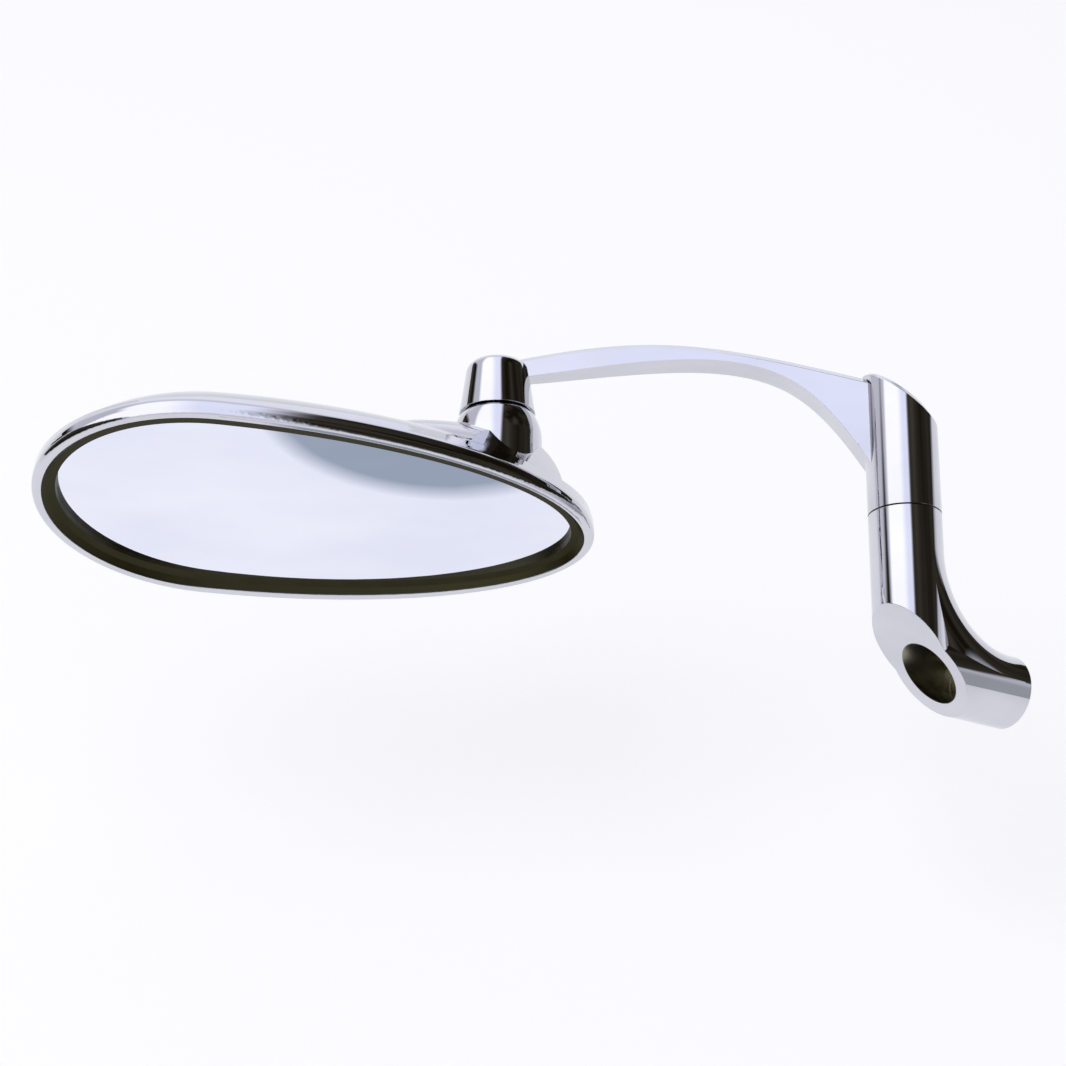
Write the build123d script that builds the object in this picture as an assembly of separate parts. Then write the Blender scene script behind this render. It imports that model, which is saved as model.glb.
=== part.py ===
from build123d import *
import os
from math import cos, radians, sin, sqrt, tan

# Left-hand handlebar mirror. Millimetres and degrees.
# The part's own frame: +X runs along the arm towards the rider's side, +Y points forward,
# +Z is up with the glass upright. The origin is the middle of the elbow's mounting face.

# Head outline: an egg of two half ellipses that share one height
HEAD_LENGTH = 166.4
HEAD_HEIGHT = 72.6
EGG_OFFSET = 30.2  # from mid length to the highest section, towards the outboard end
HEAD_ROLL = 7.6  # the inboard end hangs lower

# Head shell
RIM_BAND = 6.0
LIP_RADIUS = 2.0
LIP_WIDTH = 3.0
DOME_STEP = 0.8
DOME_DEPTH = 22.4
DOME_SINK = 6.4  # so far behind the dome's foot lies the widest section of its ellipsoid
DOME_TILT = 1.9  # the back is deeper towards the inboard end
SHELL_WALL = 2.4
LEDGE_WIDTH = 2.4
LEDGE_SINK = 2.2  # the ledge under the glass, behind the rim band

# Glass, pad and gasket
GLASS_RADIUS = 1200.0
GLASS_THICKNESS = 2.0
PAD_THICKNESS = 1.2
GASKET_WALL = 1.2
GASKET_COVER = 2.7
GASKET_RECESS = 0.5
GASKET_BEAD = 2.3  # width of the flat bead that lies on the glass
GASKET_BEAD_FRONT = 1.9  # the bead's outer edge behind the rim
GASKET_BEAD_FALL = 0.5

# Blister on the back, under the neck
BLISTER_NOSE = 46.0
BLISTER_TAIL = 20.0
BLISTER_HALF_WIDTH = 12.5
BLISTER_RISE = 19.8
BLISTER_SINK = 19.5  # its middle plane below the ball's centre
BLISTER_TILT = 13.0  # along the slope of the dome

# Neck and ball joint
NECK_RADIUS = 13.5
NECK_INSET = 31.0  # ball centre from the head's inboard end, along the head
NECK_UP = 14.0
BALL_BACK = 26.0
NECK_TOP = 11.0
BALL_RADIUS = 6.5
LINER_WALL = 1.4
BALL_FIT = 0.05
LINER_TOP_ANGLE = 46.0
LINER_GAP_ANGLE = 14.0
LINER_END_ANGLE = 150.0
STUD_RADIUS = 3.0
STUD_GRIP = 7.0
NECK_MOUTH_RADIUS = 7.8
BORE_RADIUS = 8.4
BORE_FIT = 0.1
CUP_TOP = 3.2
CUP_FLOOR = 1.2
DISC_THICKNESS = 0.7
DISC_CONE = 0.3
DISC_BORE_RADIUS = 4.0
DISC_RADIUS = 7.6
PLUG_THICKNESS = 2.6
PLUG_HEX = 6.0
PLUG_HEX_DEPTH = 2.0
BOSS_RADIUS = 10.4

# Arm casting: bell, blade and post
ARM_REACH = 121.0
BELL_SEAM = 33.0
BELL_MOUTH_RADIUS = 11.5
BELL_TOP_RADIUS = 9.0
BELL_HEIGHT = 17.0
BELL_ROUNDING = 4.2
BELL_GAP = 0.4
BELL_LIP = 0.5
ARM_WIDTH = 9.5
KEEL_WIDTH = 4.4
KEEL_OVERRUN = 8.0
KEEL_DROP = 2.4
KEEL_RISE = 0.8  # the blade's edges past the bell's own outline
BLADE_ROOT = 11.2  # the blade's underside above the bell's seam
CREST_HEIGHT = 54.7
CREST_ALONG = 74.0
BLADE_FALL = 1.43  # slope at the post, as a multiple of the mean fall from the crest
ARM_DEPTH = 6.2
ARM_BEVEL = 1.8
WEB_FOOT = 14.0
POST_RADIUS = 11.0
POST_RISE = 27.0
POST_TOP = 37.7
POST_SLANT = 38.0
POST_BEVEL = 1.4
SCREW_WELL_RADIUS = 7.5
WEB_BOTTOM = 5.4
POST_WEB = 7.0
SEAM_BEVEL = 0.4

# Post clamp screw and washers
SCREW_RADIUS = 4.0
SCREW_CLEARANCE = 0.3
SCREW_FIT = 0.05
SCREW_REACH = 22.0
SCREW_HEAD_RADIUS = 6.5
SCREW_HEAD_HEIGHT = 8.0
SCREW_HEX = 6.0
SCREW_HEX_DEPTH = 4.0
WASHER_RADIUS = 7.2
FLAT_WASHER = 1.2
LOCK_WASHER = 1.8
LOCK_WASHER_RADIUS = 6.6
LOCK_SPLIT = 0.8
LOCK_TWIST = 25.0

# Elbow
SPIGOT_RADIUS = 7.0
SPIGOT_HEIGHT = 5.0
SPIGOT_FIT = 0.05
TAPPED_DEPTH = 20.0
UPPER_RUN = 12.5
BEND_RADIUS = 35.0
LOWER_RUN = 3.0
LEG_TURN = 36.0
CORNER_RISE = 6.7  # where the corner's cut crosses the post's axis, above the leg's axis
CORNER_ANGLE = 45.0
BOLT_RADIUS = 4.5
BOLT_SEAT_RADIUS = 7.5
BOLT_GRIP = 16.0
END_BEVEL = 0.6

# Frames of the stem, the ball joint and the head
post_axis = Vector(0, cos(radians(POST_RISE)), sin(radians(POST_RISE)))
stem_turn = Plane(origin=(0, 0, 0), x_dir=(1, 0, 0), z_dir=post_axis)
leg_axis = stem_turn.x_dir * cos(radians(LEG_TURN)) + stem_turn.y_dir * sin(radians(LEG_TURN))
bend_drop = UPPER_RUN + BEND_RADIUS
leg_length = BEND_RADIUS + LOWER_RUN
swivel_centre = post_axis * bend_drop - leg_axis * leg_length
STEM = Plane(origin=swivel_centre, x_dir=(1, 0, 0), z_dir=post_axis)

cup_radius = NECK_RADIUS + BELL_GAP
mouth_rise = sqrt(cup_radius**2 - (BELL_MOUTH_RADIUS - BELL_LIP) ** 2)
ball_centre = STEM.from_local_coords(Vector(-ARM_REACH, 0, BELL_SEAM - mouth_rise))
BALL = Plane(origin=ball_centre, x_dir=(1, 0, 0), z_dir=post_axis)

head_turn = Plane(
    origin=(0, 0, 0),
    x_dir=(cos(radians(HEAD_ROLL)), 0, -sin(radians(HEAD_ROLL))),
    z_dir=(0, -1, 0),
)
neck_along = HEAD_LENGTH / 2 - NECK_INSET
ball_in_head = head_turn.from_local_coords(Vector(neck_along, NECK_UP, -BALL_BACK))
HEAD = Plane(origin=ball_centre - ball_in_head, x_dir=head_turn.x_dir, z_dir=head_turn.z_dir)

OUTBOARD = HEAD_LENGTH / 2 - EGG_OFFSET
INBOARD = HEAD_LENGTH / 2 + EGG_OFFSET
HALF_HEIGHT = HEAD_HEIGHT / 2
pocket_depth = RIM_BAND + LEDGE_SINK
LARGE = 4 * HEAD_LENGTH


def egg(inset):
    """The head's outline, moved in by a margin, as a face on the rim's front plane."""
    half = HALF_HEIGHT - inset
    out = OUTBOARD - inset
    inn = INBOARD - inset
    middle = (-EGG_OFFSET, 0)
    outboard_half = EllipticalCenterArc(middle, out, half, start_angle=90, arc_size=180)
    inboard_half = EllipticalCenterArc(middle, inn, half, start_angle=270, arc_size=180)
    return make_face([outboard_half, inboard_half])


def egg_prism(inset, back, front):
    """The outline moved in by a margin, from one depth to another."""
    return Pos(0, 0, back) * extrude(egg(inset), front - back)


def back_ellipsoid(nose, tail, half_width, rise):
    """Half an ellipsoid below the XY plane, with one reach towards -X and another towards +X."""
    ball = Sphere(1, rotation=(0, 90, 0))
    quarters = []
    for side, reach in ((-1, nose), (1, tail)):
        quarter = ball & Pos(side, 0, -1) * Box(2, 2, 2)
        quarters.append(scale(quarter, by=(reach, half_width, rise)))
    return quarters[0] + quarters[1]


def dome(inset, start, depth):
    """The domed back behind a given depth, over the outline moved in by a margin."""
    full = depth + DOME_SINK
    spread = 1 / sqrt(1 - (DOME_SINK / full) ** 2)
    edge = inset - DOME_STEP / 2
    reach = [spread * (size - edge) for size in (OUTBOARD, INBOARD, HALF_HEIGHT)]
    body = Pos(-EGG_OFFSET, 0, start + DOME_SINK) * Rot(0, DOME_TILT, 0) * back_ellipsoid(*reach, full)
    return body & egg_prism(inset, start - 2 * full, start)


def ring(outer, inner, bottom, top):
    """A plain ring about Z."""
    tall = top - bottom
    body = Cylinder(outer, tall) - Cylinder(inner, tall)
    return Pos(0, 0, (bottom + top) / 2) * body


def rod(radius, bottom, top):
    """A plain round bar about Z."""
    return Pos(0, 0, (bottom + top) / 2) * Cylinder(radius, top - bottom)


def hexagon(across_flats, bottom, top):
    """A hexagonal bar about Z, for a key socket."""
    shape = RegularPolygon(across_flats / 2, 6, major_radius=False)
    return Pos(0, 0, bottom) * extrude(shape, top - bottom)


def spherical_band(inner, outer, top_angle, end_angle):
    """A part of a ball-shaped wall, between two angles from the +Z axis."""
    first = radians(top_angle)
    last = radians(end_angle)
    middle = (first + last) / 2
    corners = [(r * sin(a), r * cos(a)) for a in (first, middle, last) for r in (inner, outer)]
    in_top, out_top, in_mid, out_mid, in_end, out_end = corners
    section = make_face(
        [
            ThreePointArc(out_top, out_mid, out_end),
            Line(out_end, in_end),
            ThreePointArc(in_end, in_mid, in_top),
            Line(in_top, out_top),
        ]
    )
    return revolve(Plane.XZ * section, Axis.Z)


# Stations of the ball joint, along its axis from the ball's centre
liner_inner = BALL_RADIUS + BALL_FIT
liner_outer = liner_inner + LINER_WALL
socket_radius = liner_outer + BALL_FIT
cup_base = socket_radius + CUP_FLOOR
disc_stack = 2 * (DISC_THICKNESS + DISC_CONE)
plug_face = cup_base + disc_stack
boss_end = plug_face + PLUG_THICKNESS
stud_tip = cup_radius + STUD_GRIP


def make_head_shell():
    band = egg_prism(0, -RIM_BAND, 0)
    front_edges = band.faces().sort_by(Axis.Z)[-1].edges()
    band = fillet(front_edges, LIP_RADIUS)
    outside = HEAD * (band + dome(DOME_STEP, -RIM_BAND, DOME_DEPTH))

    foot = Pos(neck_along, NECK_UP, BLISTER_SINK - BALL_BACK) * Rot(0, -BLISTER_TILT, 0)
    blister = foot * back_ellipsoid(BLISTER_NOSE, BLISTER_TAIL, BLISTER_HALF_WIDTH, BLISTER_RISE)
    blister = HEAD * (blister & egg_prism(2 * DOME_STEP, -HEAD_HEIGHT, -RIM_BAND / 2))
    neck_body = rod(NECK_RADIUS, -boss_end, 0) + Sphere(NECK_RADIUS)
    neck_body &= rod(NECK_RADIUS, -boss_end, NECK_TOP)

    wall = LIP_WIDTH + LEDGE_WIDTH
    cavity = egg_prism(LIP_WIDTH, -pocket_depth, 0) + dome(wall, -RIM_BAND, DOME_DEPTH - SHELL_WALL)
    shell = outside + blister + BALL * neck_body - HEAD * cavity

    boss = BALL * rod(BOSS_RADIUS, -boss_end, 0)
    shell += boss & outside
    socket = Sphere(socket_radius) + rod(BORE_RADIUS, -2 * boss_end, 0)
    mouth_low = socket_radius * cos(radians(LINER_TOP_ANGLE))
    mouth_wide = socket_radius * sin(radians(LINER_TOP_ANGLE))
    mouth = Pos(0, 0, (mouth_low + NECK_TOP) / 2) * Cone(mouth_wide, NECK_MOUTH_RADIUS, NECK_TOP - mouth_low)
    return shell - BALL * (socket + mouth)


def glass_ball(back):
    """The ball on whose surface the glass is bent, its edge at the ends of the head."""
    end_inset = LIP_WIDTH + GASKET_WALL
    end_reach = HEAD_LENGTH / 2 - end_inset
    sag = GLASS_RADIUS - sqrt(GLASS_RADIUS**2 - end_reach**2)
    edge_front = PAD_THICKNESS + GLASS_THICKNESS - pocket_depth
    lying = Sphere(GLASS_RADIUS - back, rotation=(90, 0, 0))  # its poles away from the glass
    return Pos(0, 0, edge_front + sag - GLASS_RADIUS) * lying


def make_glass():
    blank = egg_prism(LIP_WIDTH + GASKET_WALL, -pocket_depth, pocket_depth)
    return (blank & glass_ball(0)) - glass_ball(GLASS_THICKNESS)


def make_pad():
    blank = egg_prism(LIP_WIDTH + GASKET_WALL, -pocket_depth, pocket_depth)
    return blank & glass_ball(GLASS_THICKNESS)


def make_gasket():
    window = LIP_WIDTH + GASKET_WALL + GASKET_COVER
    body = egg_prism(LIP_WIDTH, -pocket_depth, -GASKET_RECESS)
    body -= egg_prism(LIP_WIDTH + GASKET_WALL, -2 * pocket_depth, pocket_depth) & glass_ball(0)
    bead_back = GASKET_BEAD_FRONT + GASKET_BEAD_FALL
    rings = ((window, bead_back), (window - GASKET_BEAD, GASKET_BEAD_FRONT), (LIP_WIDTH, GASKET_RECESS))
    flare = loft([Pos(0, 0, -depth) * egg(inset) for inset, depth in rings], ruled=True)
    return body - flare - egg_prism(window, -2 * pocket_depth, 0)


def make_ball_stud():
    return Sphere(BALL_RADIUS) + rod(STUD_RADIUS, 0, stud_tip)


def make_pressure_cup():
    body = rod(BORE_RADIUS - BORE_FIT, -cup_base, -CUP_TOP)
    return body - Sphere(socket_radius)


def make_disc_springs():
    """Two cone-shaped spring discs, rim to rim."""
    low = -plug_face
    section = Polygon(
        (DISC_BORE_RADIUS, low),
        (DISC_RADIUS, low + DISC_CONE),
        (DISC_RADIUS, low + DISC_CONE + DISC_THICKNESS),
        (DISC_BORE_RADIUS, low + DISC_THICKNESS),
        align=None,
    )
    lower = revolve(Plane.XZ * section, Axis.Z)
    upper = mirror(lower, about=Plane.XY.offset(low + disc_stack / 2))
    return Compound(children=[lower.solid(), upper.solid()])


def make_plug():
    body = rod(BORE_RADIUS, -boss_end, -plug_face)
    return body - hexagon(PLUG_HEX, -boss_end, PLUG_HEX_DEPTH - boss_end)


def make_bell():
    """The bell about the ball joint's axis, with its hollow still solid."""
    foot = mouth_rise
    crown = foot + BELL_HEIGHT
    outline = Polyline(
        (0, foot), (BELL_MOUTH_RADIUS, foot), (BELL_TOP_RADIUS, crown), (0, crown), (0, foot)
    )
    section = make_face(outline)
    shoulder = section.vertices().sort_by(Axis.Y)[-2:].sort_by(Axis.X)[-1]
    section = fillet(shoulder, BELL_ROUNDING)
    return revolve(Plane.XZ * section, Axis.Z)


def make_blade():
    """The blade between bell and post: its side outline crossed with its plan outline."""
    bell_crown = BELL_SEAM + BELL_HEIGHT
    top_end = POST_TOP + POST_RADIUS * tan(radians(POST_SLANT)) - 2 * POST_BEVEL
    inside = POST_RADIUS / 2
    keel_slope = (KEEL_DROP + KEEL_RISE) / (2 * KEEL_OVERRUN)
    post_slope = -BLADE_FALL * (CREST_HEIGHT - top_end) / (CREST_ALONG - POST_RADIUS)
    top = Spline(
        (-ARM_REACH - KEEL_OVERRUN, bell_crown - KEEL_DROP),
        (-ARM_REACH + KEEL_OVERRUN, bell_crown + KEEL_RISE),
        (-CREST_ALONG, CREST_HEIGHT),
        (-POST_RADIUS, top_end),
        tangents=[(1, keel_slope), (1, post_slope)],
    )
    top_root = Line(top @ 1, top @ 1 + (top % 1) * inside)
    bell_side = BELL_SEAM + BLADE_ROOT
    bottom = Spline(
        (-inside, WEB_FOOT - ARM_DEPTH),
        (-POST_RADIUS, WEB_FOOT + ARM_DEPTH / 2),
        (-3 * POST_RADIUS, CREST_HEIGHT - 2 * ARM_DEPTH),
        (-CREST_ALONG, CREST_HEIGHT - ARM_DEPTH),
        (-ARM_REACH + BELL_TOP_RADIUS, bell_side),
        (-ARM_REACH, bell_side - KEEL_RISE),
    )
    keel_tip = Line(bottom @ 1, (-ARM_REACH - KEEL_OVERRUN, bell_side - KEEL_RISE))
    keel_face = Line(keel_tip @ 1, top @ 0)
    root = Line(top_root @ 1, bottom @ 0)
    side = make_face([top, top_root, root, bottom, keel_tip, keel_face])
    side_body = extrude(Plane.XZ.offset(-ARM_WIDTH) * side, 2 * ARM_WIDTH)

    half = ARM_WIDTH / 2
    tip = KEEL_WIDTH / 2
    keel_end = -ARM_REACH - KEEL_OVERRUN
    taper = (half - tip) / (ARM_REACH - CREST_ALONG)
    back_edge = Spline((0, half), (-CREST_ALONG, half), (keel_end, tip), tangents=[(-1, 0), (-1, -taper)])
    front_edge = mirror(back_edge, about=Plane.XZ)
    post_end = Line((0, half), (0, -half))
    bell_end = Line((keel_end, tip), (keel_end, -tip))
    plan = make_face([back_edge, front_edge, post_end, bell_end])
    blade = side_body & extrude(plan, LARGE)
    crease_floor = CREST_HEIGHT - ARM_DEPTH / 2
    creases = [e for e in blade.edges() if e.length > ARM_REACH / 2 and (e @ 0.5).Z > crease_floor]
    return chamfer(creases, ARM_BEVEL)


def make_post():
    """The post with its slanted top, its hollow still solid."""
    post = rod(POST_RADIUS, 0, CREST_HEIGHT)
    post = chamfer(post.edges().sort_by(Axis.Z)[0], SEAM_BEVEL)
    slant = Pos(0, 0, POST_TOP) * Rot(0, POST_SLANT, 0)
    post -= slant * Pos(0, 0, LARGE / 2) * Box(LARGE, LARGE, LARGE)
    rim = post.faces().sort_by(Axis.Z)[-1].edges()
    return chamfer(rim, POST_BEVEL)


def make_arm():
    bell_place = Pos(-ARM_REACH, 0, BELL_SEAM - mouth_rise)
    body = make_post() + make_blade() + bell_place * make_bell()
    web_top = WEB_BOTTOM + POST_WEB
    body -= rod(SCREW_WELL_RADIUS, web_top, LARGE)
    body -= rod(SCREW_RADIUS + SCREW_CLEARANCE, 0, LARGE)
    body -= rod(SPIGOT_RADIUS + SPIGOT_FIT, 0, WEB_BOTTOM)
    body -= bell_place * Sphere(cup_radius)
    return body - bell_place * rod(STUD_RADIUS, 0, stud_tip)


def make_clamp_screw():
    seat = WEB_BOTTOM + POST_WEB + FLAT_WASHER + LOCK_WASHER
    head_top = seat + SCREW_HEAD_HEIGHT
    body = rod(SCREW_RADIUS, seat - SCREW_REACH, seat) + rod(SCREW_HEAD_RADIUS, seat, head_top)
    return body - hexagon(SCREW_HEX, head_top - SCREW_HEX_DEPTH, head_top)


def make_flat_washer():
    seat = WEB_BOTTOM + POST_WEB
    return ring(WASHER_RADIUS, SCREW_RADIUS + SCREW_CLEARANCE, seat, seat + FLAT_WASHER)


def make_lock_washer():
    seat = WEB_BOTTOM + POST_WEB + FLAT_WASHER
    body = ring(LOCK_WASHER_RADIUS, SCREW_RADIUS + SCREW_FIT, seat, seat + LOCK_WASHER)
    split = Pos(LOCK_WASHER_RADIUS, 0, seat + LOCK_WASHER / 2) * Rot(LOCK_TWIST, 0, 0)
    return body - split * Box(2 * LOCK_WASHER_RADIUS, LOCK_SPLIT, 2 * LOCK_WASHER_RADIUS)


def make_elbow():
    """Built with the lower leg along +X, then turned to its own direction."""
    start = (0, 0, 0)
    bend_top = (0, 0, -UPPER_RUN)
    bend_end = (BEND_RADIUS, 0, -bend_drop)
    leg_end = (leg_length, 0, -bend_drop)
    upper = Line(start, bend_top)
    bend = TangentArc(bend_top, bend_end, tangent=(0, 0, -1))
    lower = Line(bend_end, leg_end)
    bent = sweep(Circle(POST_RADIUS), path=Wire([upper, bend, lower]))
    corner = rod(POST_RADIUS, -bend_drop - POST_RADIUS, 0)
    leg = Pos(0, 0, -bend_drop) * Rot(0, 90, 0)
    corner += leg * rod(POST_RADIUS, -POST_RADIUS, leg_length)
    body = bent + corner
    body = chamfer(body.faces().sort_by(Axis.X)[-1].edges(), END_BEVEL)

    cut = Pos(0, 0, CORNER_RISE - bend_drop) * Rot(0, CORNER_ANGLE, 0)
    body -= cut * Pos(0, 0, -LARGE / 2) * Box(LARGE, LARGE, LARGE)
    body += rod(SPIGOT_RADIUS, 0, SPIGOT_HEIGHT)
    body -= rod(SCREW_RADIUS + SCREW_FIT, SPIGOT_HEIGHT - TAPPED_DEPTH, SPIGOT_HEIGHT)
    body -= leg * rod(BOLT_RADIUS, -leg_length, leg_length)
    body -= leg * rod(BOLT_SEAT_RADIUS, -leg_length, leg_length - BOLT_GRIP)
    return Rot(0, 0, LEG_TURN) * body


pieces = {
    "head_shell": make_head_shell(),
    "gasket": HEAD * make_gasket(),
    "mirror_glass": HEAD * make_glass(),
    "backing_pad": HEAD * make_pad(),
    "ball_stud": BALL * make_ball_stud(),
    "upper_liner": BALL * spherical_band(liner_inner, liner_outer, LINER_TOP_ANGLE, 90 - LINER_GAP_ANGLE),
    "lower_liner": BALL * spherical_band(liner_inner, liner_outer, 90 + LINER_GAP_ANGLE, LINER_END_ANGLE),
    "pressure_cup": BALL * make_pressure_cup(),
    "disc_springs": BALL * make_disc_springs(),
    "retaining_plug": BALL * make_plug(),
    "arm": STEM * make_arm(),
    "clamp_screw": STEM * make_clamp_screw(),
    "lock_washer": STEM * make_lock_washer(),
    "flat_washer": STEM * make_flat_washer(),
    "elbow": STEM * make_elbow(),
}

os.makedirs("parts", exist_ok=True)
for name, piece in pieces.items():
    export_step(piece, f"parts/{name}.step")
    print(name, round(piece.volume), "mm3")
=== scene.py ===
# %% [markdown]
# A handlebar mirror in chrome.
# The real mirror is an egg-shaped shell with its glass, on a ball joint at the end of a bent arm. The
# arm's post turns on an elbow that bolts to the handlebar. The pieces could be modelled again in
# Blender, but then two models would have to be kept alike. So the solid pieces come from the CAD model
# and stay as they are, and this lesson adds finishes, a small studio and a camera. All lengths are
# metres, in the CAD model's own frame.

# %% Load the solid pieces
import math
import bpy
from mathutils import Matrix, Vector


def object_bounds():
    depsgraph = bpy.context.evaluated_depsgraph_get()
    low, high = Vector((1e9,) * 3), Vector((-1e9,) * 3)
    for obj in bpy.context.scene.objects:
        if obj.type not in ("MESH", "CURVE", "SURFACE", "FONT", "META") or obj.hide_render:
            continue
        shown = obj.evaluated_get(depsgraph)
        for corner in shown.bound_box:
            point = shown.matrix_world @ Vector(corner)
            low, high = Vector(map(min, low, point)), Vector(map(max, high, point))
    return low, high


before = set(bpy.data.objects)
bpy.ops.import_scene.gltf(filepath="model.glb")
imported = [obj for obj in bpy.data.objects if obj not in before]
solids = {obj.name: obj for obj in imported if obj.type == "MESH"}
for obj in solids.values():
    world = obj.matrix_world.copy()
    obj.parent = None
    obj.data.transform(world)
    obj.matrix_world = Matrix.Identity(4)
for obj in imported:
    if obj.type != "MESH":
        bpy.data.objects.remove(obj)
cad_low, cad_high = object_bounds()
print("pieces:", sorted(solids))
print("CAD box, mm:", [round(1000 * (b - a), 1) for a, b in zip(cad_low, cad_high)])

# %% [markdown]
# Directions of the stem.
# The post leans 27 degrees up from the forward direction, and the head's neck lies parallel to it. The
# bolt's hole in the elbow is square to the post, turned 36 degrees round it, and passes through the
# origin. Some finishes follow these axes. They could be measured on the meshes, but the angles are
# known from the CAD model, so the axes are worked out from them.

# %% The axes of the post and of the bolt
post_rise = math.radians(27)
leg_turn = math.radians(36)
post_axis = Vector((0, math.cos(post_rise), math.sin(post_rise)))
post_front = Vector((1, 0, 0)).cross(post_axis)
bolt_axis = Vector((math.cos(leg_turn), 0, 0)) - math.sin(leg_turn) * post_front
swivel = Vector((-0.030743, 0.032183, 0.041466))
bolt_point = Vector((0, 0, 0))
print("post along", [round(v, 3) for v in post_axis], "bolt along", [round(v, 3) for v in bolt_axis])

# %% [markdown]
# A finish and its coordinates.
# A finish is the skin of a piece: plate, glass or rubber. In Blender it is a material, a tree of nodes
# that ends in a shader. Its marks could be painted on an unfolded mesh. Here they are worked out from
# the object's own coordinates, so nothing has to be unfolded and every mark has its real size on the
# piece.

# %% Start a finish
def start_finish(name):
    """A new material, its tree, its shader and the coordinates of the object that wears it."""
    finish = bpy.data.materials.new(name)
    finish.use_nodes = True
    tree = finish.node_tree
    shader = tree.nodes["Principled BSDF"]
    place = tree.nodes.new("ShaderNodeTexCoord").outputs["Object"]
    return finish, tree, shader, place


print("ready to start finishes")

# %% [markdown]
# Patches and streaks.
# A cloth leaves cloudy patches on metal, and polishing leaves streaks. Photographs of worn metal could
# show them, but a photograph ends at its edges and has its own light in it. A noise texture goes on for
# ever, and one number sets the size of its patches. Streaks are the same noise in coordinates that are
# drawn out one way.

# %% Patches and streaks
def grain(tree, place, size, detail=3.0):
    """Soft random patches about as wide as size, in metres."""
    noise = tree.nodes.new("ShaderNodeTexNoise")
    noise.inputs["Scale"].default_value = 1.0 / size
    noise.inputs["Detail"].default_value = detail
    tree.links.new(place, noise.inputs["Vector"])
    return noise.outputs["Fac"]


def stretched(tree, place, turn, stretch):
    """The same coordinates, turned and scaled, for streaks."""
    mapping = tree.nodes.new("ShaderNodeMapping")
    mapping.inputs["Rotation"].default_value = turn
    mapping.inputs["Scale"].default_value = stretch
    tree.links.new(place, mapping.inputs["Vector"])
    return mapping.outputs["Vector"]


print("patterns: patches and streaks")

# %% [markdown]
# Numbers from patterns.
# On the real metal a cloudy patch is a little duller than the rest, and a speck is much duller. A noise
# gives numbers that mostly lie between 0.3 and 0.7. They could go to the shader as they are, but plate
# with a roughness of 0.5 would be matt. So one helper spreads a pattern over the range that is wanted,
# one joins two patterns, and one makes specks from the middles of scattered cells.

# %% Numbers from patterns
noise_low = 0.3
noise_high = 0.7


def spread(tree, value, low, high, start=noise_low, end=noise_high):
    """Turns a pattern between start and end into a number between low and high."""
    node = tree.nodes.new("ShaderNodeMapRange")
    for socket, number in (("From Min", start), ("From Max", end), ("To Min", low), ("To Max", high)):
        node.inputs[socket].default_value = number
    tree.links.new(value, node.inputs["Value"])
    return node.outputs["Result"]


def combine(tree, first, second, operation="ADD"):
    """One number from two patterns."""
    node = tree.nodes.new("ShaderNodeMath")
    node.operation = operation
    tree.links.new(first, node.inputs[0])
    tree.links.new(second, node.inputs[1])
    return node.outputs["Value"]


def specks(tree, place, spacing, size):
    """Scattered small spots: 1 in a spot, 0 between them."""
    cells = tree.nodes.new("ShaderNodeTexVoronoi")
    cells.inputs["Scale"].default_value = 1.0 / spacing
    tree.links.new(place, cells.inputs["Vector"])
    reach = size / spacing
    return spread(tree, cells.outputs["Distance"], low=1, high=0, start=reach / 2, end=reach)


print("a noise is spread from", noise_low, "to", noise_high)

# %% [markdown]
# Colours from patterns.
# Wiping, dust and age change the colour of a real surface a little from place to place. It could be
# painted by hand, but a ramp does it with two or three colours that are easy to change. Where a colour
# has a clear limit, as in a hole, an overlay lays it over the rest by a mask.

# %% Colours from patterns
def ramp(tree, value, *stops):
    """A colour ramp through (position, colour) stops."""
    node = tree.nodes.new("ShaderNodeValToRGB")
    band = node.color_ramp
    while len(band.elements) < len(stops):
        band.elements.new(0.5)
    for element, (position, colour) in zip(band.elements, stops):
        element.position = position
        element.color = (*colour, 1)
    tree.links.new(value, node.inputs["Fac"])
    return node.outputs["Color"]


def overlay(tree, base, colour, mask):
    """A base colour with another one laid over it where the mask is 1."""
    mix = tree.nodes.new("ShaderNodeMix")
    mix.data_type = "RGBA"
    mix.inputs["B"].default_value = (*colour, 1)
    tree.links.new(base, mix.inputs["A"])
    tree.links.new(mask, mix.inputs["Factor"])
    return mix.outputs["Result"]


print("colours: ramps and overlays")

# %% [markdown]
# Fine relief.
# Polished metal still waves a little, and rubber and foam have a grain. Real geometry for marks that
# small would take millions of faces. A bump node only tilts the light and leaves the outline alone,
# which is enough here.

# %% Fine relief
def relief(tree, shader, value, depth):
    """Fine relief of a given depth, in metres."""
    bump = tree.nodes.new("ShaderNodeBump")
    bump.inputs["Distance"].default_value = depth
    tree.links.new(value, bump.inputs["Height"])
    tree.links.new(bump.outputs["Normal"], shader.inputs["Normal"])
    return bump


print("relief: a bump on the shader's normal")

# %% [markdown]
# Dull bores.
# A screw sits in a deep well in the post, and the bolt has a well of the same radius in the elbow.
# Plating reaches badly into such holes, so their walls stay dull; their darker colour is painted shade.
# A second material on the faces inside would do it too, but it would have to find those faces in the
# mesh. A mask is simpler: it is 1 wherever a point is no farther from the hole's axis than its wall.

# %% Dull bores
bore_radius = 0.0075
bore_edge = 1.005 * bore_radius
bore_fade = 1.02 * bore_radius
# Painted shade: the darker colour of the bores' walls; their haze is real dullness.
bore_metal_and_shade = (0.30, 0.285, 0.22)
bore_haze = 0.22


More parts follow.
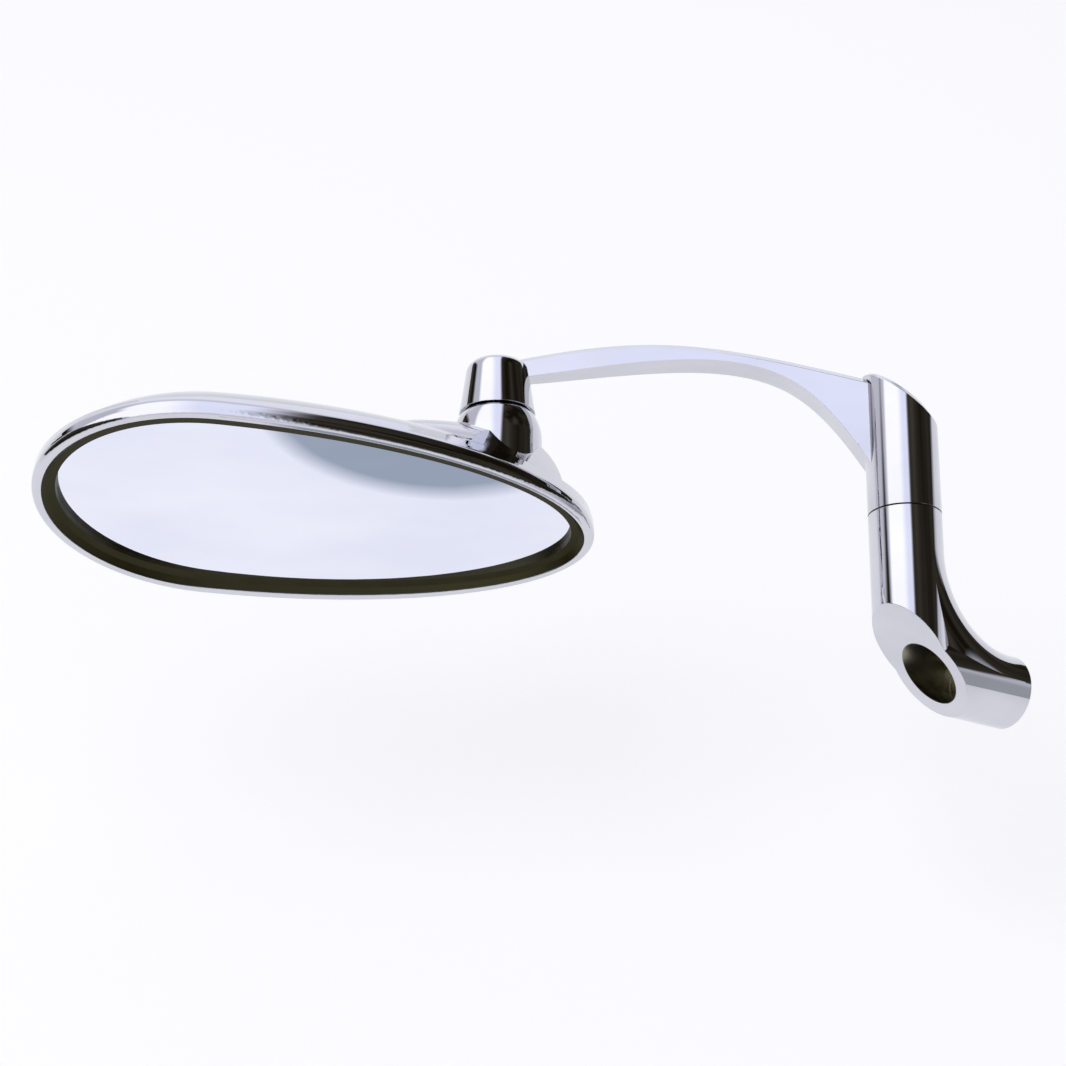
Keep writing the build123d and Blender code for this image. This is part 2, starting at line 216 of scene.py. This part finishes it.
def tube(tree, place, point, axis):
    """1 inside the bore along an axis through a point, 0 outside it."""
    shift = tree.nodes.new("ShaderNodeVectorMath")
    shift.operation = "SUBTRACT"
    shift.inputs[1].default_value = point
    tree.links.new(place, shift.inputs[0])
    cross = tree.nodes.new("ShaderNodeVectorMath")
    cross.operation = "CROSS_PRODUCT"
    cross.inputs[1].default_value = axis
    tree.links.new(shift.outputs["Vector"], cross.inputs[0])
    reach = tree.nodes.new("ShaderNodeVectorMath")
    reach.operation = "LENGTH"
    tree.links.new(cross.outputs["Vector"], reach.inputs[0])
    return spread(tree, reach.outputs["Value"], low=1, high=0, start=bore_edge, end=bore_fade)


print("bores, radius in mm:", 1000 * bore_radius)

# %% [markdown]
# The groove at the swivel.
# Where the post meets the elbow a fine groove runs round, and a dark line is painted into it as shade. A
# thin dark ring could be laid into it, but the groove itself is already in the solids. So the finish
# only paints shade on a narrow band, in coordinates that run along the post from the swivel's centre.

# %% The groove at the swivel
groove_middle = 0.0002
groove_width = 0.0005
# Painted shade: the dark line in the groove.
groove_shade_black = (0.03, 0.03, 0.025)


def round_axis(tree, place):
    """Coordinates whose Z runs along the post, from the swivel's centre."""
    mapping = tree.nodes.new("ShaderNodeMapping")
    mapping.vector_type = "TEXTURE"
    mapping.inputs["Location"].default_value = swivel
    mapping.inputs["Rotation"].default_value = (post_rise - math.pi / 2, 0, 0)
    tree.links.new(place, mapping.inputs["Vector"])
    return mapping.outputs["Vector"]


def groove(tree, place):
    """1 in the groove round the post at the swivel, 0 away from it."""
    split = tree.nodes.new("ShaderNodeSeparateXYZ")
    tree.links.new(round_axis(tree, place), split.inputs["Vector"])
    near = tree.nodes.new("ShaderNodeMath")
    near.operation = "COMPARE"
    near.inputs[1].default_value = groove_middle
    near.inputs[2].default_value = groove_width / 2
    tree.links.new(split.outputs["Z"], near.inputs[0])
    return near.outputs["Value"]


print("groove, width in mm:", 1000 * groove_width)

# %% [markdown]
# The rolled rim band.
# On the real shell the back of the band round the glass rolls over into the dome. The solid's band is
# straight there and stays so. A relief on it can't move the outline, but it can bend the light: its
# height falls along a curve and then at one slope. It works only where the surface stands square to
# the glass, so that its normal has next to nothing along Y; the dome keeps its own light.

# %% The height and the place of the roll
roll_start = 0.0312
roll_end = 0.0344
wall_end = 0.0500
roll_radius = 0.006
roll_length = roll_end - roll_start
roll_depth = roll_length ** 2 / (2 * roll_radius)
wall_drop = 2 * (wall_end - roll_end) / roll_length
wall_tilt = 0.010
dome_tilt = 0.020


def roll_drop(tree, place):
    """The drop along Y, in roll depths: a curve first, then one slope."""
    split = tree.nodes.new("ShaderNodeSeparateXYZ")
    tree.links.new(place, split.inputs["Vector"])
    along = split.outputs["Y"]
    curve = spread(tree, along, low=0, high=1, start=roll_start, end=roll_end)
    slope = spread(tree, along, low=0, high=wall_drop, start=roll_end, end=wall_end)
    return combine(tree, combine(tree, curve, curve, "MULTIPLY"), slope)


def square_walls(tree):
    """1 on walls square to the glass, 0 elsewhere, by the square of the normal's Y."""
    facing = tree.nodes.new("ShaderNodeSeparateXYZ")
    tree.links.new(tree.nodes.new("ShaderNodeTexCoord").outputs["Normal"], facing.inputs["Vector"])
    tilt = combine(tree, facing.outputs["Y"], facing.outputs["Y"], "MULTIPLY")
    return spread(tree, tilt, low=1, high=0, start=wall_tilt, end=dome_tilt)


print("roll, depth in mm:", round(1000 * roll_depth, 2))

# %% [markdown]
# Marks on chrome plate.
# The shell, the arm and the elbow are castings that were polished and plated. Good plate is a clear
# mirror with a slightly cold tint. A metal shader of one colour would be a perfect mirror, which no
# plate is. So the tint and the roughness follow cloudy patches from wiping, hair-thin scratches and a
# few dull specks.

# %% Marks on chrome plate
cold_grey = (0.60, 0.60, 0.645)
pale_grey = (0.66, 0.66, 0.695)


def plate_marks(tree, place, wipe_turn):
    """The plate's tint and roughness."""
    turn = (0, 0, wipe_turn)
    wiping = grain(tree, stretched(tree, place, turn, stretch=(1, 3, 3)), size=0.040)
    scratches = grain(tree, stretched(tree, place, turn, stretch=(0.04, 1, 1)), size=0.0006, detail=2.0)
    spots = specks(tree, place, spacing=0.011, size=0.0004)
    tint = ramp(tree, wiping, (noise_low, cold_grey), (noise_high, pale_grey))
    haze = spread(tree, wiping, low=0.012, high=0.035)
    haze = combine(tree, haze, spread(tree, scratches, low=0, high=0.02, start=0.62, end=0.8))
    haze = combine(tree, haze, spread(tree, spots, low=0, high=0.25, start=0, end=1))
    return tint, haze


print("plate tints:", cold_grey, "to", pale_grey)

# %% [markdown]
# The skin of the plate.
# Polishing leaves a skin that waves by about a hundredth of a millimetre, and it rounds every edge by
# some tenths of one. Rounded edges could be cut into the mesh with a bevel, but the CAD mesh stays as
# it is. The Bevel node rounds the light at the edges instead, and the waves are a relief on top of it.

# %% The skin of the plate
edge_rounding = 0.0003
wave_size = 0.012
wave_depth = 0.000012


def plate_skin(tree, shader, place):
    """Waves over rounded edges; for the head, the rolled band can follow on them."""
    rounding = tree.nodes.new("ShaderNodeBevel")
    rounding.samples = 4
    rounding.inputs["Radius"].default_value = edge_rounding
    waves = relief(tree, shader, grain(tree, place, wave_size, detail=1.0), wave_depth)
    tree.links.new(rounding.outputs["Normal"], waves.inputs["Normal"])
    return waves


def roll_band(tree, shader, place, skin):
    """The rolled rim band on top of the skin."""
    roll = relief(tree, shader, roll_drop(tree, place), roll_depth)
    roll.invert = True
    tree.links.new(square_walls(tree), roll.inputs["Strength"])
    tree.links.new(skin.outputs["Normal"], roll.inputs["Normal"])


print("edges rounded by, mm:", 1000 * edge_rounding)

# %% [markdown]
# Chrome for three castings.
# Shell, arm and elbow were plated alike, but each was wiped in a direction of its own. One material
# could serve all three. Three are better, because only the arm and the elbow have a bore and the
# groove, and only the shell has the rolled band.

# %% Chrome for three castings
def chrome_plate(name, wipe_turn, bore=None):
    """Plate for the arm or the elbow, with a bore's point and axis, or for the shell, without one."""
    finish, tree, shader, place = start_finish(name)
    tint, haze = plate_marks(tree, place, wipe_turn)
    skin = plate_skin(tree, shader, place)
    if bore:
        inner = tube(tree, place, *bore)
        # Painted shade: the bores' walls get a darker colour.
        tint = overlay(tree, tint, bore_metal_and_shade, inner)
        # Painted shade: the groove is drawn as a dark line.
        tint = overlay(tree, tint, groove_shade_black, groove(tree, place))
        haze = combine(tree, haze, spread(tree, inner, low=0, high=bore_haze, start=0, end=1))
    else:
        roll_band(tree, shader, place, skin)
    tree.links.new(tint, shader.inputs["Base Color"])
    tree.links.new(haze, shader.inputs["Roughness"])
    shader.inputs["Metallic"].default_value = 1.0
    return finish


head_chrome = chrome_plate("head_chrome", math.radians(8))
arm_chrome = chrome_plate("arm_chrome", math.radians(10), (swivel, post_axis))
elbow_chrome = chrome_plate("elbow_chrome", math.radians(75), (bolt_point, bolt_axis))
print("chrome finishes:", head_chrome.name, arm_chrome.name, elbow_chrome.name)

# %% [markdown]
# Silvered glass.
# The mirror is a slightly domed glass with silver behind it. It could be built as clear glass before a
# silver sheet, but every ray would then have to pass through the glass twice. A metal shader with a
# clear coat looks much the same from in front. A little dust and the marks of a cloth soften the
# reflection in patches.

# %% Silvered glass
silver_dim = (0.77, 0.79, 0.89)
silver_bright = (0.83, 0.85, 0.94)
cloth_turn = math.radians(25)


def silvered_glass(name):
    """A clean mirror under a clear coat, with a little dust."""
    finish, tree, shader, place = start_finish(name)
    wiping = grain(tree, stretched(tree, place, turn=(0, cloth_turn, 0), stretch=(1, 1, 3)), size=0.050)
    dust = specks(tree, place, spacing=0.006, size=0.00018)
    tint = ramp(tree, wiping, (noise_low, silver_dim), (noise_high, silver_bright))
    haze = spread(tree, wiping, low=0.004, high=0.02)
    haze = combine(tree, haze, spread(tree, dust, low=0, high=0.2, start=0, end=1))
    tree.links.new(tint, shader.inputs["Base Color"])
    tree.links.new(haze, shader.inputs["Roughness"])
    shader.inputs["Metallic"].default_value = 1.0
    shader.inputs["Coat Weight"].default_value = 0.6
    shader.inputs["Coat Roughness"].default_value = 0.01
    relief(tree, shader, grain(tree, place, size=0.030, detail=1.0), depth=0.000004)
    return finish


mirror_finish = silvered_glass("silvered_glass")
print("glass finish:", mirror_finish.name)

# %% [markdown]
# Black rubber and foam.
# The ring between rim and glass is moulded rubber, olive-black with a soft olive sheen and a fine
# grain, and dust settles on it in paler patches. The pad behind the glass is foam with a coarser grain.
# One flat black would do from far away, but near by it looks like a gap. So one helper makes both, with
# other numbers for each.

# %% Black rubber and foam
olive_sheen = (1.0, 0.95, 0.50, 1)
dust_full = 0.75
dust_dulling = 0.14


def soft_black(name, dark, dusty, roughness, grain_size, grain_depth):
    """A black that is paler and duller where dust lies."""
    finish, tree, shader, place = start_finish(name)
    dust = grain(tree, place, size=0.012)
    tree.links.new(ramp(tree, dust, (noise_low, dark), (dust_full, dusty)), shader.inputs["Base Color"])
    tree.links.new(spread(tree, dust, roughness, roughness + dust_dulling), shader.inputs["Roughness"])
    shader.inputs["Specular IOR Level"].default_value = 0.3
    shader.inputs["Specular Tint"].default_value = olive_sheen
    relief(tree, shader, grain(tree, place, grain_size), grain_depth)
    return finish


ring_rubber = soft_black(
    "ring_rubber", dark=(0.010, 0.008, 0.002), dusty=(0.020, 0.017, 0.007),
    roughness=0.28, grain_size=0.0005, grain_depth=0.00002,
)
pad_foam = soft_black(
    "pad_foam", dark=(0.045, 0.045, 0.045), dusty=(0.075, 0.075, 0.073),
    roughness=0.75, grain_size=0.0010, grain_depth=0.00020,
)
print("black finishes:", ring_rubber.name, pad_foam.name)

# %% [markdown]
# Turned steel.
# The ball, its pressure cup, the spring discs and the plug are steel, and a lathe leaves fine rings on
# such pieces, square to the joint's axis. The rings could be grooves in the mesh, thousands of them.
# Here they are a noise that changes quickly along the axis, which lies parallel to the post, and hardly
# at all across it.

# %% Turned steel
stain_shade = 0.75


def turned_metal(name, bright):
    """Metal with slow stains and the fine rings of a lathe."""
    finish, tree, shader, place = start_finish(name)
    stain = grain(tree, place, size=0.006)
    stained = tuple(stain_shade * c for c in bright)
    tint = ramp(tree, stain, (noise_low, stained), (noise_high, bright))
    tree.links.new(tint, shader.inputs["Base Color"])
    tree.links.new(spread(tree, stain, low=0.20, high=0.36), shader.inputs["Roughness"])
    shader.inputs["Metallic"].default_value = 1.0
    along = stretched(tree, round_axis(tree, place), turn=(0, 0, 0), stretch=(0.02, 0.02, 1))
    relief(tree, shader, grain(tree, along, size=0.0002), depth=0.000012)
    return finish


turned_steel = turned_metal("turned_steel", bright=(0.56, 0.56, 0.57))
print("joint's metal:", turned_steel.name)

# %% [markdown]
# White nylon.
# Two rings of nylon hold the ball, so that steel does not rub on the casting. Nylon lets a little light
# into itself. A shader with that depth would be slow, and the rings lie inside the head. So a plain
# matt white with warm clouds and a fine grain is enough.

# %% White nylon
def white_nylon(name):
    """Matt white with warm clouds."""
    finish, tree, shader, place = start_finish(name)
    cloud = grain(tree, place, size=0.005)
    tint = ramp(tree, cloud, (noise_low, (0.70, 0.69, 0.62)), (noise_high, (0.80, 0.79, 0.73)))
    tree.links.new(tint, shader.inputs["Base Color"])
    tree.links.new(spread(tree, cloud, low=0.38, high=0.55), shader.inputs["Roughness"])
    relief(tree, shader, grain(tree, place, size=0.0004), depth=0.00001)
    return finish


seat_nylon = white_nylon("white_nylon")
print("joint's rings:", seat_nylon.name)

# %% [markdown]
# Zinc-plated screw.
# The socket-head screw at the bottom of the post's well has a knurled head: fine straight ridges for
# the fingers. They could be cut into the mesh, but they are shallow and deep in a dull well. A relief
# that repeats round the post's axis is enough. Zinc has a faint blue and yellow bloom. The two washers
# are zinc-plated and turned.

# %% Zinc-plated screw
knurl_ridges = 48
knurl_depth = 0.00015
zinc_bloom = ((0.3, (0.50, 0.52, 0.58)), (0.55, (0.62, 0.62, 0.62)), (0.75, (0.66, 0.63, 0.52)))


def zinc_plate(name):
    """Zinc with a coloured bloom and the ridges of a knurl."""
    finish, tree, shader, place = start_finish(name)
    bloom = grain(tree, place, size=0.003)
    tree.links.new(ramp(tree, bloom, *zinc_bloom), shader.inputs["Base Color"])
    tree.links.new(spread(tree, bloom, low=0.22, high=0.42), shader.inputs["Roughness"])
    shader.inputs["Metallic"].default_value = 1.0
    turn = tree.nodes.new("ShaderNodeTexGradient")
    turn.gradient_type = "RADIAL"
    tree.links.new(round_axis(tree, place), turn.inputs["Vector"])
    angle = spread(tree, turn.outputs["Fac"], low=0, high=2 * math.pi * knurl_ridges, start=0, end=1)
    wave = tree.nodes.new("ShaderNodeMath")
    wave.operation = "SINE"
    tree.links.new(angle, wave.inputs[0])
    relief(tree, shader, wave.outputs["Value"], knurl_depth)
    return finish


screw_zinc = zinc_plate("screw_zinc")
washer_zinc = turned_metal("washer_zinc", bright=(0.62, 0.62, 0.60))
print("screw finishes:", screw_zinc.name, washer_zinc.name)

# %% [markdown]
# Which piece gets which finish.
# Each real piece has one finish. A mesh can carry many materials, chosen face by face, but each solid
# of the CAD model is one object here, so one material a piece is enough.

# %% Dress the pieces
finishes = {
    "head_shell": head_chrome,
    "arm": arm_chrome,
    "elbow": elbow_chrome,
    "mirror_glass": mirror_finish,
    "gasket": ring_rubber,
    "backing_pad": pad_foam,
    "ball_stud": turned_steel,
    "pressure_cup": turned_steel,
    "disc_springs": turned_steel,
    "retaining_plug": turned_steel,
    "upper_liner": seat_nylon,
    "lower_liner": seat_nylon,
    "clamp_screw": screw_zinc,
    "lock_washer": washer_zinc,
    "flat_washer": washer_zinc,
}
for name, finish in finishes.items():
    piece = solids[name]
    piece.data.materials.clear()
    piece.data.materials.append(finish)
print(len(finishes), "pieces dressed")

# %% [markdown]
# A map of the surroundings.
# Chrome shows its surroundings more than itself, so the studio makes most of its look. Cloths and lamps
# could be built round the mirror as objects. It is simpler to draw them on the world, which is a colour
# for each direction. The map lays the directions out flat: straight up is in the middle, the horizon is
# a circle of radius 1, u runs to the right and v forward. A point on it is a direction divided by one
# more than its height.

# %% A map of the surroundings
world = bpy.data.worlds.new("studio")
bpy.context.scene.world = world
world.use_nodes = True
sky = world.node_tree
looking = sky.nodes.new("ShaderNodeTexCoord").outputs["Generated"]
split = sky.nodes.new("ShaderNodeSeparateXYZ")
sky.links.new(looking, split.inputs["Vector"])
above = sky.nodes.new("ShaderNodeMath")
above.inputs[1].default_value = 1.0
sky.links.new(split.outputs["Z"], above.inputs[0])
flat = sky.nodes.new("ShaderNodeVectorMath")
flat.operation = "DIVIDE"
sky.links.new(looking, flat.inputs[0])
sky.links.new(above.outputs["Value"], flat.inputs[1])
on_map = flat.outputs["Vector"]
print("world:", world.name)

# %% [markdown]
# Edges and patches.
# The cloths and lamps of a studio have straight sides. Round or painted shapes would work as well, but
# straight sides give long even bands on a post, and a few numbers describe them. An edge is a soft step
# across the map in one direction. A patch is what lies inside all of its edges.

# %% Edges and patches
def edge(u, v, start, end):
    """A soft straight edge on the map, across the direction (u, v): 0 before start, 1 after end."""
    dot = sky.nodes.new("ShaderNodeVectorMath")
    dot.operation = "DOT_PRODUCT"
    dot.inputs[1].default_value = (u, v, 0)
    sky.links.new(on_map, dot.inputs[0])
    step = sky.nodes.new("ShaderNodeMapRange")
    step.interpolation_type = "SMOOTHSTEP"
    step.inputs["From Min"].default_value = start
    step.inputs["From Max"].default_value = end
    sky.links.new(dot.outputs["Value"], step.inputs["Value"])
    return step.outputs["Result"]


def inside(*edges):
    """A patch of the map: the product of all its edges."""
    patch = edges[0]
    for side in edges[1:]:
        patch = combine(sky, patch, side, "MULTIPLY")
    return patch


print("map: edges and patches")

# %% [markdown]
# Walls and softbox.
# A product photographer puts shiny things into a tent of pale cloth. This one is grey, darker on the
# right, with a bright lavender back wall. A softbox hangs overhead, brightest on its left half, and
# draws the white bands on the post and the bell. A single even white would be simpler, but then the
# metal would have no bands at all.

# %% Walls and softbox
tent_grey = (0.70, 0.70, 0.78)
shaded_grey = (0.42, 0.44, 0.47)
wall_lavender = (1.03, 1.05, 1.16)
softbox_blue = (1.10, 1.14, 1.36)
softbox_white = (1.52, 1.52, 1.58)
right_wall = inside(edge(1, 0, 0.50, 0.75), edge(0, -1, -0.15, 0.05))
back_wall = inside(edge(0, 1, 0.65, 0.92), edge(1, 0, -0.60, -0.40), edge(-1, 0, -0.60, -0.40))
softbox = inside(
    edge(1, -0.43, -0.56, -0.46),  # left side
    edge(-1, 0, -0.14, -0.06),  # right side
    edge(0, -1, -0.75, -0.55),  # far end
    edge(0, 1, -1.0, -0.6),  # near end
)
bright_half = inside(softbox, edge(-1, 0, 0.0, 0.16))
tent = ramp(sky, right_wall, (0, tent_grey), (1, shaded_grey))
for patch, colour in ((back_wall, wall_lavender), (softbox, softbox_blue), (bright_half, softbox_white)):
    tent = overlay(sky, tent, colour, patch)
print("tent with a right wall, a back wall and a softbox")

# %% [markdown]
# Black flags.
# Black cloths beside the object, which photographers call flags, draw the dark bands that make metal
# look like metal. One hangs on the right and two on the left. They could be plain black, but then the
# bands would look like holes, so a slow noise gives the cloth a few folds with a faint warm sheen.

# %% Black flags
cloth_black = (0.010, 0.008, 0.004)
cloth_sheen = (0.065, 0.058, 0.045)
fold_low = 0.35
fold_high = 0.75
right_flag = inside(
    edge(1, 0, 0.06, 0.13),  # left side
    edge(-1, 0.45, -0.73, -0.67),  # right side
    edge(0.4, -1, -0.74, -0.64),  # far end
    edge(0, 1, -1.3, -0.7),  # near end
)
left_flag = inside(
    edge(-1, -0.44, 0.49, 0.55),  # right side, slanted
    edge(-1, 0, 0.26, 0.32),  # right side, straight
    edge(0, -1, -0.20, -0.12),  # far end
)
side_flag = inside(
    edge(-1, 0, 0.55, 0.64),  # right side
    edge(1, 0.42, -0.66, -0.60),  # left side
    edge(0, 1, 0.30, 0.38),  # near end
    edge(0, -1, -1.0, -0.92),  # far end
)
flags = combine(sky, combine(sky, right_flag, left_flag, "MAXIMUM"), side_flag, "MAXIMUM")
waving = grain(sky, looking, size=0.35, detail=1.0)
folds = ramp(sky, waving, (fold_low, cloth_black), (fold_high, cloth_sheen))
hung = sky.nodes.new("ShaderNodeMix")
hung.data_type = "RGBA"
sky.links.new(tent, hung.inputs["A"])
sky.links.new(folds, hung.inputs["B"])
sky.links.new(flags, hung.inputs["Factor"])
print("three flags hung in the tent")

# %% [markdown]
# Who sees what.
# The picture has a white background, but the metal has to show the tent, and one real room can't do
# both. The mirror could be cut out of its picture afterwards, but its shadow would be lost. Here the
# world answers by the kind of ray: the camera sees white, reflections see the tent, and all other rays
# get an even soft light.

# %% Who sees what
even_light = sky.nodes["Background"]
even_light.inputs["Color"].default_value = (0.95, 0.95, 1.0, 1)
even_light.inputs["Strength"].default_value = 0.75
tent_view = sky.nodes.new("ShaderNodeBackground")
sky.links.new(hung.outputs["Result"], tent_view.inputs["Color"])
white_view = sky.nodes.new("ShaderNodeBackground")
white_view.inputs["Color"].default_value = (1, 1, 1, 1)
rays = sky.nodes.new("ShaderNodeLightPath")


def seen_by(ray, view, otherwise):
    """One view of the world for a kind of ray, another for the rest."""
    mix = sky.nodes.new("ShaderNodeMixShader")
    sky.links.new(rays.outputs[ray], mix.inputs["Fac"])
    sky.links.new(otherwise.outputs[0], mix.inputs[1])
    sky.links.new(view.outputs[0], mix.inputs[2])
    return mix


seen_world = seen_by("Is Glossy Ray", tent_view, even_light)
seen_world = seen_by("Is Transmission Ray", tent_view, seen_world)
seen_world = seen_by("Is Camera Ray", white_view, seen_world)
sky.links.new(seen_world.outputs["Shader"], sky.nodes["World Output"].inputs["Surface"])
print("camera: white; reflections: tent; the rest: even light")

# %% [markdown]
# The floor.
# Under the mirror lies a white sheet. It could lie right under the elbow, but it is lower, so that the
# head can hang down on its ball joint without touching it. Part of its brightness is its own colour in
# the studio's light, so it takes a soft shadow. The rest is a glow that only the camera and reflections
# see, so that it ends up as white as the background.

# %% The floor
hanging_room = 0.078
floor_level = cad_low.z - hanging_room
floor_size = 8
floor_glow = 0.30
bpy.ops.mesh.primitive_plane_add(size=floor_size, location=(cad_low.x / 2, 0, floor_level))
floor = bpy.context.object
floor.name = "floor"
white_sheet, tree, shader, _ = start_finish("white_sheet")
shader.inputs["Base Color"].default_value = (0.80, 0.80, 0.82, 1)
shader.inputs["Roughness"].default_value = 0.95
shader.inputs["Specular IOR Level"].default_value = 0.0
shader.inputs["Emission Color"].default_value = (1, 1, 1, 1)
seen = tree.nodes.new("ShaderNodeLightPath").outputs
watched = combine(tree, seen["Is Camera Ray"], seen["Is Glossy Ray"], "MAXIMUM")
watched = combine(tree, watched, seen["Is Transmission Ray"], "MAXIMUM")
glow = spread(tree, watched, low=0, high=floor_glow, start=0, end=1)
tree.links.new(glow, shader.inputs["Emission Strength"])
floor.data.materials.append(white_sheet)
print("floor at", round(1000 * floor_level, 1), "mm")

# %% [markdown]
# A grey card before the glass.
# A mirror that shows nothing but a white sheet seems to be painted white. Any object in front of it
# would help. A round grey card on the sheet is the simplest: it shows at the top of the glass as a soft
# crescent. Only reflections see it, so it leaves no mark on the picture's floor.

# %% A grey card before the glass
card_radius = 0.112
card_fade = 0.90 * card_radius
card_lift = 0.0004
card_place = (-0.151, -0.236, floor_level + card_lift)
bpy.ops.mesh.primitive_circle_add(vertices=96, radius=card_radius, fill_type="NGON", location=card_place)
card = bpy.context.object
card.name = "grey_card"
card.visible_camera = False
card.visible_diffuse = False
card.visible_shadow = False
card_grey, tree, shader, place = start_finish("card_grey")
shader.inputs["Base Color"].default_value = (0, 0, 0, 1)
shader.inputs["Specular IOR Level"].default_value = 0.0
shader.inputs["Emission Color"].default_value = (0.39, 0.44, 0.51, 1)
shader.inputs["Emission Strength"].default_value = 1.0
reach = tree.nodes.new("ShaderNodeVectorMath")
reach.operation = "LENGTH"
tree.links.new(place, reach.inputs[0])
fade = spread(tree, reach.outputs["Value"], low=1, high=0, start=card_fade, end=card_radius)
tree.links.new(fade, shader.inputs["Alpha"])
card.data.materials.append(card_grey)
print("grey card, radius in mm:", 1000 * card_radius)

# %% [markdown]
# The lamp.
# A large lamp above and to the left gives the floor its soft shadow. The sun or a small lamp would draw
# a hard one. Reflections don't see the lamp; the softbox on the map stands in its place.

# %% The lamp
lamp_data = bpy.data.lights.new("overhead_lamp", "AREA")
lamp_data.shape = "DISK"
lamp_data.size = 0.9
lamp_data.energy = 3.0
lamp = bpy.data.objects.new("overhead_lamp", lamp_data)
bpy.context.scene.collection.objects.link(lamp)
lamp_target = Vector((-0.15, 0.03, 0.04))
lamp_offset = Vector((-0.45, -0.15, 1.1))
lamp.location = lamp_target + lamp_offset
lamp.rotation_euler = (lamp_target - lamp.location).to_track_quat("-Z", "Y").to_euler()
lamp.visible_glossy = False
print("lamp at", [round(v, 2) for v in lamp.location])

# %% [markdown]
# The camera.
# The photograph looks down on the mirror at about 42 degrees, along the forward direction. A camera
# close by would make the near parts look too large. So it stands nearly a metre away, with a long lens.
# The frame is a little wider than the mirror, so that the whole elbow shows.

# %% The camera
look_down = math.radians(42)
distance = 0.90
frame_width = 0.316
aim = Vector((-0.1410, 0.0290, 0.0380))
lens = bpy.data.cameras.new("photo_camera")
camera = bpy.data.objects.new("photo_camera", lens)
bpy.context.scene.collection.objects.link(camera)
bpy.context.scene.camera = camera
towards_camera = Vector((0, -math.cos(look_down), math.sin(look_down)))
camera.location = aim + towards_camera * distance
camera.rotation_euler = (math.pi / 2 - look_down, 0, 0)
lens.sensor_width = 36
lens.lens = lens.sensor_width * distance / frame_width
lens.clip_start = 0.01
bpy.context.scene.view_settings.view_transform = "Standard"
print("lens, mm:", round(lens.lens, 1))
